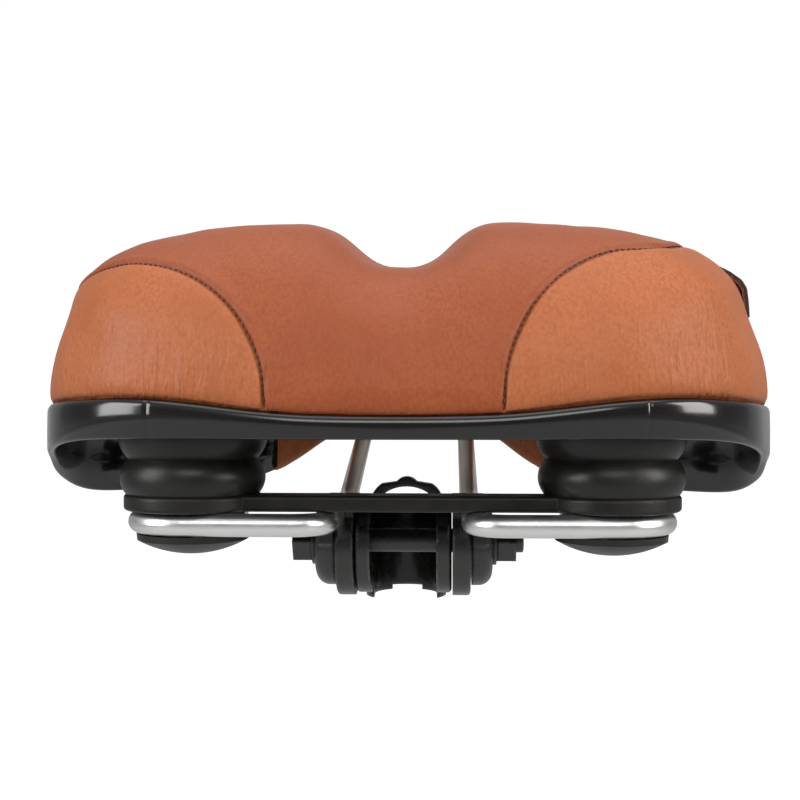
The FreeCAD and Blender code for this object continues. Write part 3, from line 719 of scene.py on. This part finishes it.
def seam_arc(side):
    """The seam's rise from the rim to its top, as (|x|, z)."""
    foot = SEAM_FOOT[side]
    low = float(rim_height(foot))
    top_x, top_z = SEAM_TOP[side]
    arc = []
    for step in range(SEAM_ARC_STEPS):
        turn = 0.5 * math.pi * step / (SEAM_ARC_STEPS - 1)
        x = top_x - (top_x - foot) * max(math.cos(turn), 0) ** (2 / SEAM_ROUNDNESS)
        arc.append((x, low + (top_z - low) * math.sin(turn) ** (2 / SEAM_ROUNDNESS)))
    return arc


def column_places():
    """Close columns across the tail and round the corners, wider ones to the nose."""
    special = [tail_place(x) for x in SEAM_FOOT.values()] + [s_at_y(SEAM_END)]
    special += [s_at_y(BUMPER_END - 0.02), s_at_y(BUMPER_END + 0.02)]
    corner = s_at_y(-30)
    spread = np.concatenate([
        np.arange(0, 62, 0.9), np.arange(62, corner, 1.25),
        np.arange(corner, OUTLINE_LENGTH - 1, 2.1), [OUTLINE_LENGTH],
    ])
    near = np.min(np.abs(spread[:, None] - np.array(special)[None]), axis=1)
    return np.sort(np.concatenate([spread[(near > 0.35) | (spread == 0)], special]))


def seam_heights(form, side):
    """Height of the seam over each column, and the seam's first and last column."""
    points = []
    tail = [j for j in range(len(form.s)) if form.s[j] < s_at_y(-4)]
    for x, z in seam_arc(side):
        reach = [form.at(j, [form.level(j, z)])[0][0, 0] for j in tail]
        reach = np.maximum.accumulate(reach)
        points.append((float(np.interp(x, reach, form.s[tail])), z))
    points += [(s_at_y(y), z) for y, z in SEAM_BESIDE[side] + SEAM_FORWARD]
    end = s_at_y(SEAM_END)
    points.append((end, float(rim_height(outline([end])[0][0, 0]))))
    foot = tail_place(SEAM_FOOT[side])
    points[0] = (foot, points[0][1])
    first = int(np.argmin(np.abs(form.s - foot)))
    last = int(np.argmin(np.abs(form.s - end)))
    path = np.array(points)
    along = lengths(path)
    dense = np.linspace(0, along[-1], 1500)
    across, up = (spline(list(zip(along, path[:, i])), dense) for i in range(2))
    return np.interp(form.s, np.maximum.accumulate(across), up), first, last


def soft_swell(points):
    """Gentle unevenness of padded leather, from a few long waves."""
    waves = [
        ((0.16, 0.05, 0.11), 0.3, 0.13), ((0.07, 0.18, 0.05), 1.7, 0.16),
        ((0.24, 0.12, 0.05), 2.9, 0.08), ((0.05, 0.09, 0.27), 4.1, 0.09),
        ((0.38, 0.20, 0.09), 5.3, 0.05), ((0.55, 0.05, 0.12), 0.9, 0.035),
    ]
    total = np.zeros(points.shape[:-1])
    for pitch, start, size in waves:
        total += size * np.sin(points @ np.array(pitch) + start)
    return total


def pull_lines(points, above_rim, signed_s):
    """Short upright creases where the leather is pulled down over the rim."""
    fade = np.exp(-np.clip(above_rim, 0, None) / 9.0) * (points[..., 1] < 60)
    patch = 0.5 + 0.5 * np.sin(signed_s * 0.11 + 0.8) * np.sin(signed_s * 0.037 + 2.1)
    lean = signed_s + 0.10 * above_rim
    lines = np.sin(lean * 1.9) + 0.7 * np.sin(lean * 2.7 + 1.3) + 0.4 * np.sin(lean * 1.1 + 0.4)
    off_centre = np.clip(np.abs(points[..., 0]) / 6.0, 0, 1)
    return 0.07 * fade * patch * lines * off_centre


class SeamFinder:
    """Distance from a point to the nearer seam."""

    def __init__(self, lines):
        spots = np.concatenate(lines)
        self.tree = KDTree(len(spots))
        for i, spot in enumerate(spots):
            self.tree.insert(spot, i)
        self.tree.balance()

    def distance(self, points):
        flat = points.reshape(-1, 3)
        return np.array([self.tree.find(p)[2] for p in flat]).reshape(points.shape[:-1])


def seam_line(form, heights, first, last):
    """The seam as a dense row of points on the form, down to the hem at its end."""
    spots = [form.at(j, [form.level(j, heights[j])])[0][0] for j in range(first, last + 1)]
    foot = spots[-1]
    hem = float(edge_height(foot[1]))
    spots += [np.array([foot[0], foot[1], z]) for z in np.arange(foot[2] - 2, hem, -2.0)]
    spots = np.array(spots)
    return resample(spots, np.arange(0, lengths(spots)[-1], 0.35))


def dress(points, normals, distance, centre, signed_s):
    """Move the form's points by the seam's groove, the padding beside it and the creases."""
    groove = -SEAM_DEPTH * np.exp(-((distance / SEAM_WIDTH) ** 2))
    if centre:
        groove += 0.42 * np.exp(-(((distance - 2.4) / 1.7) ** 2))
    else:
        groove += 0.2 * np.exp(-(((distance - 3.4) / 2.4) ** 2))
    above = points[..., 2] - rim_height(points[..., 0])
    tuck = -1.3 * np.exp(-np.clip(above, 0, None) / 1.5) * (points[..., 1] < BUMPER_END)
    lift = groove + tuck + soft_swell(points) + pull_lines(points, above, signed_s)
    return points + normals * lift[..., None]


def lower_rows(s, nose):
    """The cover below the rim's height: tucked behind the rim, or down the nose to its hem."""
    (point,), (out,) = outline([s])
    join = float(rim_height(point[0]))
    if nose:
        hem = float(edge_height(point[1]))
        profile = [(0, z) for z in np.linspace(join, hem + 2.4, 9)]
        profile += [(-0.2, hem + 1.3), (-0.8, hem + 0.45), (-1.9, hem), (-3.6, hem + 0.05),
                    (-5.2, hem + 0.35), (-6.0, hem + 1.3)]
        top = join - 4.5
        profile += [(-6.2, z) for z in np.linspace(hem + 3.5, max(top, hem + 5), 5)]
    else:
        profile = [(-1.3, join), (-1.9, join - 0.25), (-2.5, join - 0.6), (-2.9, join - 1.2),
                   (-3.0, join - 1.9)]
    rows = [(point[0] + out[0] * d, point[1] + out[1] * d, z) for d, z in profile]
    return np.array(rows), np.tile([out[0], out[1], 0.0], (len(rows), 1))


def make_cover():
    form = Form(column_places())
    seams = {side: seam_heights(form, side) for side in ("left", "right")}
    signs = {"left": MIRROR, "right": np.ones(3)}
    lines = {}
    for side in seams:
        lines[side] = seam_line(form, *seams[side]) * signs[side]
    finder = SeamFinder(list(lines.values()))
    bend = [j for j, s in enumerate(form.s) if s <= s_at_y(BUMPER_END)][-1]
    count = len(form.s)
    middle = Cloth()
    panels = {"left": Cloth(), "right": Cloth()}

    def lower(cloth, start, stop, sign, flip, nose, centre):
        blocks = [lower_rows(form.s[j], nose) for j in range(start, stop + 1)]
        points = np.array([b[0] for b in blocks]) * sign
        normals = np.array([b[1] for b in blocks]) * sign
        places = signed(start, stop, sign, points)
        if nose:
            dressed = dress(points, normals, finder.distance(points), centre, places)
            outside = (np.arange(points.shape[1]) < 13)[None, :, None]
            points = np.where(outside, dressed, points)
        else:
            swell = soft_swell(points) + pull_lines(points, places * 0, places)
            points = points + normals * swell[..., None]
        cloth.add(points[:, ::-1], flip)

    def signed(start, stop, sign, points):
        run = form.s[start:stop + 1, None] * sign[0]
        return np.repeat(run, points.shape[1], axis=1)

    for side, (heights, first, last) in seams.items():
        sign, flip = signs[side], side == "left"
        side_points, side_normals, mid_points, mid_normals = [], [], [], []
        near_seam = 1 - (1 - np.linspace(0, 1, SIDE_ROWS)) ** 1.7
        from_seam = np.linspace(0, 1, MIDDLE_ROWS) ** 1.45
        for j in range(count):
            foot, _ = outline([form.s[j]])
            base = form.level(j, float(rim_height(foot[0, 0])))
            seam = max(base, form.level(j, heights[j])) if first < j < last else base
            points, normals = form.at(j, seam + (1 - seam) * from_seam)
            mid_points.append(points)
            mid_normals.append(normals)
            if first <= j <= last:
                points, normals = form.at(j, base + (seam - base) * near_seam)
                side_points.append(points)
                side_normals.append(normals)
        for cloth, points, normals, centre, start, stop in (
            (middle, mid_points, mid_normals, True, 0, count - 1),
            (panels[side], side_points, side_normals, False, first, last),
        ):
            points, normals = np.array(points) * sign, np.array(normals) * sign
            places = signed(start, stop, sign, points)
            block = dress(points, normals, finder.distance(points), centre, places)
            cloth.add(block, flip)
            row = slice(first, last + 1) if centre else slice(None)
            edge = block[row, :1] if centre else block[row, -1:]
            inward = normals[row, :1] if centre else normals[row, -1:]
            turned = [edge, edge - inward * 0.8, edge - inward * 1.9]
            turned = turned[::-1] if centre else turned
            cloth.add(np.concatenate(turned, axis=1), flip)
        lower(panels[side], first, bend, sign, flip, False, False)
        lower(panels[side], bend + 1, last, sign, flip, True, False)
        lower(middle, 0, first, sign, flip, False, True)
        lower(middle, last, count - 1, sign, flip, True, True)
    cover = middle.piece("leather_middle", MATERIALS["leather_center"], "leather_center", COVER_THICK)
    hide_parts("cover_center")
    for side, cloth in panels.items():
        panel = cloth.piece(f"leather_{side}", MATERIALS["leather_side"], "leather_side", COVER_THICK)
        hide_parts(f"cover_{side}")
    return form, lines


def make_foam(form):
    """The foam under the cover, on the pan."""
    floor_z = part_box("threaded_insert_left")[0][2] / MM + 3.2
    rows = np.linspace(0, 1, 26)
    skin = Cloth()
    picked = list(range(0, len(form.s), 4))
    if picked[-1] != len(form.s) - 1:
        picked.append(len(form.s) - 1)
    for sign, flip in ((np.ones(3), False), (MIRROR, True)):
        blocks = []
        for j in picked:
            base = form.level(j, floor_z)
            points, normals = form.at(j, base + (1 - base) * rows)
            inset = points - normals * 2.7
            centre_line = np.array([[0.0, inset[0, 1], inset[0, 2]]])
            inset[-1, 0] = 0
            blocks.append(np.concatenate([centre_line, inset]))
        blocks = np.array(blocks)
        blocks[0, :, 0] = blocks[-1, :, 0] = 0
        skin.add(blocks * sign, flip)
    points, faces = welded(np.concatenate(skin.points), skin.faces, 1e-3)
    foam = new_piece("foam_core", points, faces, MATERIALS["foam"])
    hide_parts("foam_pad")


# ---------------------------------------------------------------- stitches
STITCH_PITCH, STITCH_LENGTH, STITCH_RADIUS = 2.1, 1.55, 0.27


def capsule(centre, along, across, length, radius):
    """Points and faces of one short thread."""
    third = np.cross(along, across)
    rings = [(-0.5, 0.25), (-0.38, 0.8), (0.0, 1.0), (0.38, 0.8), (0.5, 0.25)]
    points = []
    for place, girth in rings:
        for k in range(6):
            turn = math.pi * k / 3
            side = across * math.cos(turn) + third * math.sin(turn)
            points.append(centre + along * place * length + side * radius * girth)
    faces = []
    for ring in range(4):
        for k in range(6):
            a, b = ring * 6 + k, ring * 6 + (k + 1) % 6
            faces.append((a, b, b + 6, a + 6))
    faces.append(tuple(range(5, -1, -1)))
    faces.append(tuple(range(24, 30)))
    return points, faces


def make_stitches(lines):
    for side, line in lines.items():
        middle = np.array([0, 20.0, 55.0])
        places = np.arange(3.0, lengths(line)[-1] - 4, STITCH_PITCH)
        spots = resample(line, places)
        ahead = resample(line, places + 0.5)
        points, faces = [], []
        for i, (spot, nxt) in enumerate(zip(spots, ahead)):
            along = unit(nxt - spot)
            outward = unit(spot - middle)
            across = unit(np.cross(along, outward))
            lean = 0.16 if i % 2 else -0.10
            along = unit(along + across * lean)
            new_points, new_faces = capsule(
                spot - outward * 0.62, along, across, STITCH_LENGTH, STITCH_RADIUS
            )
            start = len(points)
            points += new_points
            faces += [tuple(start + k for k in face) for face in new_faces]
        new_piece(f"stitching_{side}", points, faces, MATERIALS["thread"])


# ---------------------------------------------------------------- plastic shell
PAN_SLOPE = (55.0, 120.0)
NOSE_RISE = 12.0
MOULD_LINE_X = 72.0      # a fine upright line across the rim's face
NICK_DEPTH, NICK_WIDTH = 0.22, 0.45
BREAK_BEHIND = [(0, 38.5), (36, 40.0), (72, 41.6), (92, 39.4), (107, 35.0)]
BREAK_BESIDE = [(-20, 29.5), (-4, 26.6), (14, 24.4), (32, 24.0), (50, 26.5)]
SHELL_WALL = 2.4


def pan_rise(y):
    """How much higher the pan lies towards the nose."""
    start, stop = PAN_SLOPE
    share = np.clip((y - start) / (stop - start), 0, 1)
    return NOSE_RISE * share


def break_curve():
    """Where the rim's upper face turns into its undercut lower face, along the outline."""
    points = [(tail_place(x), z) for x, z in BREAK_BEHIND]
    points += [(s_at_y(y), z) for y, z in BREAK_BESIDE]
    return points


def rim_profile(s, point, pan_bottom, pan_top, breaks):
    """Outward distance and height from the pan's top, over the rim's lip and back under it."""
    join = float(rim_height(point[0]))
    low = float(edge_height(point[1]))
    turn = max(float(spline(breaks, s)), low + 1.9)
    height = turn - low
    slope = 0.30 if height < 6 else max(0.13, 0.30 - 0.03 * (height - 6))
    foot = -0.05 - slope * (height - 2.0)
    nick = -NICK_DEPTH * math.exp(-(((s - tail_place(MOULD_LINE_X)) / NICK_WIDTH) ** 2))
    upper = [(0.30, join - 1.5), (0.55, join - 2.6)]
    middle = 0.5 * (join - 2.6 + turn)
    upper += [(0.66, middle), (0.60, turn + 0.7), (0.42, turn), (0.12, turn - 0.8)]
    lower = [(foot * 0.5, (turn - 0.8 + low + 1.2) / 2), (foot, low + 1.2)]
    faces = [(d + nick, z) for d, z in upper + lower]
    inner = min(pan_bottom - 0.8, join - 2)
    wall = foot - SHELL_WALL
    profile = [
        (-9.0, pan_top), (-3.3, pan_top), (-2.7, max(pan_top, join - 1.3)), (-2.0, join - 0.55),
        (-1.1, join - 0.35), (-0.3, join - 0.7), *faces,
        (foot - 0.25, low + 0.45), (foot - 0.9, low), (foot - 1.6, low + 0.15),
        (wall, low + 0.9), (wall - 0.3, 0.5 * (low + 0.9 + inner)), (wall - 0.5, inner),
        (wall - 1.4, pan_bottom), (wall - 6.0, pan_bottom),
    ]
    return profile


def nose_profile(_s, point, pan_bottom, pan_top, _breaks):
    """The same count of points where the shell runs inside the leather."""
    low = float(edge_height(point[1])) + 1.4
    outer = -2.5
    inner = outer - SHELL_WALL
    heights = np.linspace(pan_top + 1.2, low + 1.0, 11)
    profile = [(-9.0, pan_top), (-6.0, pan_top), (-4.4, pan_top + 0.9)]
    profile += [(outer, float(z)) for z in heights]
    profile += [(outer - 0.3, low + 0.3), (outer - 0.9, low), (outer - 1.6, low), (inner, low + 0.8)]
    top = pan_bottom - 0.8
    profile += [(inner - 0.1, 0.5 * (low + top)), (inner - 0.3, top), (inner - 1.2, pan_bottom),
                (inner - 5.0, pan_bottom)]
    return profile


def make_shell():
    insert_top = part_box("threaded_insert_left")[0][2] / MM
    pan_bottom, pan_top = insert_top - 0.3, insert_top + 3.2
    breaks = break_curve()
    line = tail_place(MOULD_LINE_X)
    ends = [s_at_y(BUMPER_END - 0.01), s_at_y(BUMPER_END + 0.01)]
    close = [line + d for d in (-1.6, -0.9, -0.45, 0, 0.45, 0.9, 1.6)]
    spread = np.concatenate([np.arange(0, OUTLINE_LENGTH - 1, 2.0), [OUTLINE_LENGTH]])
    near = np.min(np.abs(spread[:, None] - np.array(ends + [line])[None]), axis=1)
    room = np.where(np.abs(spread - line) < 3, 2.4, 0.4)
    places = np.sort(np.concatenate([spread[(near > room) | (spread == 0)], ends, close]))
    points2, outs = outline(places)
    skin = Cloth()
    columns = []
    for s, point, out in zip(places, points2, outs):
        rise = float(pan_rise(point[1]))
        maker = rim_profile if point[1] < BUMPER_END else nose_profile
        profile = maker(s, point, pan_bottom + rise, pan_top + rise, breaks)
        rows = [(point[0] + out[0] * d, point[1] + out[1] * d, z) for d, z in profile]
        first, last = rows[0], rows[-1]
        cross = [(first[0] * k / 8, first[1], first[2]) for k in range(8)]
        back = [(last[0] * k / 8, last[1], last[2]) for k in range(7, -1, -1)]
        columns.append(cross + rows + back)
    block = np.array(columns)
    block[:, :, 0] = np.maximum(block[:, :, 0], 0)
    block[0, :, 0] = block[-1, :, 0] = 0
    skin.add(block[:, ::-1], False)
    skin.add(block[:, ::-1] * MIRROR, True)
    points, faces = welded(np.concatenate(skin.points), skin.faces, 1e-3)
    shell = new_piece("shell", points, faces, MATERIALS["shell_plastic"], 50)
    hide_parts("base_shell")


# ---------------------------------------------------------------- rubber springs
def make_springs():
    """The springs, with room for the bolt to lean."""
    for side in ("left", "right"):
        node = f"elastomer_{side}"
        low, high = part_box(node)
        centre = (Vector(low) + Vector(high)) / 2
        mesh = nodes[node].data.copy()
        offsets = [Vector((v.co.x - centre.x, v.co.y - centre.y, 0)) for v in mesh.vertices]
        bore = min(offset.length for offset in offsets)
        for vertex, offset in zip(mesh.vertices, offsets):
            if offset.length < bore + 0.1 * MM:
                vertex.co += offset.normalized() * 0.9 * MM
        spring = link(bpy.data.objects.new(f"spring_{side}", mesh))
        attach(spring, "frame")
        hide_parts(node)
        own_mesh(spring)


# ---------------------------------------------------------------- label
# How far the folded label stands off the leather, from its sewn edge down: (z, stand-off).
TAG_RISE = [(98.0, -0.4), (96.4, 0.7), (93.0, 1.4), (89.5, 2.3), (86.4, 3.4), (84.0, 3.6),
            (80.5, 2.6), (77.8, 1.7), (75.4, 0.9)]
TAG_Y, TAG_WIDTH, TAG_THICK = -12.0, 9.0, 0.75


def ribbon(paths, thickness):
    """A strip of cloth through paths that lie side by side, with its thickness inward."""
    sheets = []
    for path in paths:
        even = resample(path, np.linspace(0, lengths(path)[-1], 36))
        run = np.gradient(even, axis=0)
        out = unit(np.stack([-run[:, 2], run[:, 1] * 0, run[:, 0]], 1))
        sheets.append(np.concatenate([even, (even - out * thickness)[::-1]]))
    count = len(sheets[0])
    faces = []
    for level in range(len(sheets) - 1):
        for k in range(count):
            a, b = level * count + k, level * count + (k + 1) % count
            faces.append((a, b, b + count, a + count))
    half = count // 2
    for base, turn in ((0, False), ((len(sheets) - 1) * count, True)):
        for k in range(half - 1):
            quad = (base + k, base + k + 1, base + count - 2 - k, base + count - 1 - k)
            faces.append(quad[::-1] if turn else quad)
    return np.concatenate(sheets), faces


def tag_paths(form, y_low, y_high, inward):
    """The label's line at several places along the saddle, a little wavy."""
    paths = []
    for y in np.linspace(y_low, y_high, 9):
        j = int(np.argmin(np.abs(form.s - s_at_y(y))))
        path = []
        for z, rise in TAG_RISE:
            (point,), (normal,) = form.at(j, [form.level(j, z)])
            wave = 0.18 * math.sin(0.9 * y + 0.5 * z)
            spot = point + normal * (rise - inward + wave)
            path.append((spot[0], y, spot[2]))
        paths.append(np.array(path))
    return paths


def make_tag(form):
    """A short loop of label tape caught in the seam: dark outside, red-brown inside."""
    y_high = TAG_Y + TAG_WIDTH
    points, faces = ribbon(tag_paths(form, TAG_Y, y_high, 0), TAG_THICK)
    band = new_piece("label_band", points, faces, MATERIALS["tag_edge"], 35)
    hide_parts("side_tag")
    inner = [path[2:] for path in tag_paths(form, TAG_Y + 0.25, y_high - 0.25, TAG_THICK)]
    points, faces = ribbon(inner, 1.1)
    new_piece("label_fold", points, faces, MATERIALS["tag_fabric"], 35)


# ---------------------------------------------------------------- finishes for the CAD nodes
MATERIALS = {}


def make_materials():
    MATERIALS.update({
        "leather_center": leather(
            "leather_middle", (0.335, 0.078, 0.024, 1), (0.40, 0.102, 0.033, 1), 0.9),
        # Painted light: the side leather is the middle leather painted lighter, for the side lamps'
        # light falling on the side panels.
        "leather_side": leather(
            "leather_side", (0.45, 0.132, 0.046, 1), (0.54, 0.172, 0.064, 1), 1.15),
        "shell_plastic": glossy_plastic(),
        "foam": open_foam(),
        "thread": seam_thread(),
        "tag_fabric": woven_label("label_weave", (0.10, 0.028, 0.016, 1), (0.22, 0.065, 0.035, 1)),
        "tag_edge": woven_label("label_edge", (0.012, 0.010, 0.009, 1), (0.05, 0.03, 0.022, 1)),
        "clamp_paint": painted_steel(
            "clamp_black", (0.008, 0.007, 0.006, 1), 0.2, (0.13, 0.12, 0.11, 1)),
        "bolt_black": painted_steel(
            "bolt_oxide", (0.010, 0.009, 0.008, 1), 0.3, (0.18, 0.17, 0.15, 1)),
        "rail_steel": satin_chrome(),
        "plate_paint": ribbed_nylon("bridge_nylon", (0.0075, 0.0068, 0.006, 1)),
        "spring_rubber": moulded_rubber("spring_rubber", (0.0095, 0.009, 0.008, 1), 0.34),
        "dome_rubber": moulded_rubber("cap_rubber", (0.012, 0.012, 0.011, 1), 0.36),
        "nylon": ribbed_nylon("socket_nylon", (0.016, 0.016, 0.016, 1)),
        "screw_steel": zinc_steel(),
    })


def dress_nodes():
    for row in frame["record"]["subparts"]:
        mesh = nodes[row["node"]].data
        mesh.materials.clear()
        mesh.materials.append(MATERIALS[row["material_slot"]])


make_materials()
add_camera()
add_world()
add_lights()
add_floor()
dress_nodes()
form, seam_lines = make_cover()
make_foam(form)
make_stitches(seam_lines)
make_shell()
make_springs()
make_tag(form)
